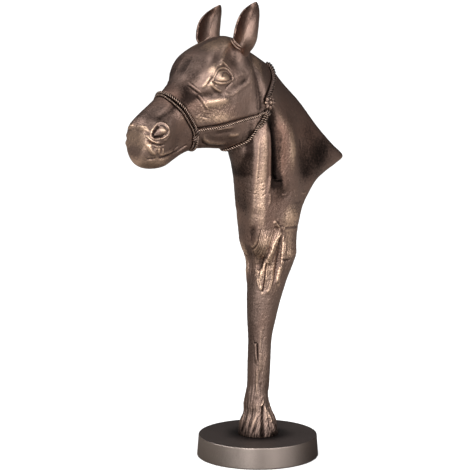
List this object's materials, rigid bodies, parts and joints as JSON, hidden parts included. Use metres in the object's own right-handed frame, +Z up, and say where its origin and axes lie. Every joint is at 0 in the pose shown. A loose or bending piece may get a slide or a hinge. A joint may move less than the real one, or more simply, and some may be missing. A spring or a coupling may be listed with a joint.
{
  "type": "horse figurine",
  "caption": "Cast bust of a haltered horse whose rough neck runs down into a slender root-like stem, standing on a round base.",
  "frame": {"origin": "centre of the round base's underside", "axes": "+Z up, -Y the way the horse faces, +X the horse's left side"},
  "size_m": [0.2074, 0.4473, 0.7697],
  "materials": {
    "antique_bronze": "antique bronze, dark in the hollows and rubbed bright on the high parts",
    "brushed_bronze": "satin, brushed round the rim, darker and matt on top"
  },
  "bodies": {
    "root": {"horse_figure": "antique_bronze", "round_base": "brushed_bronze"}
  },
  "joints": []
}
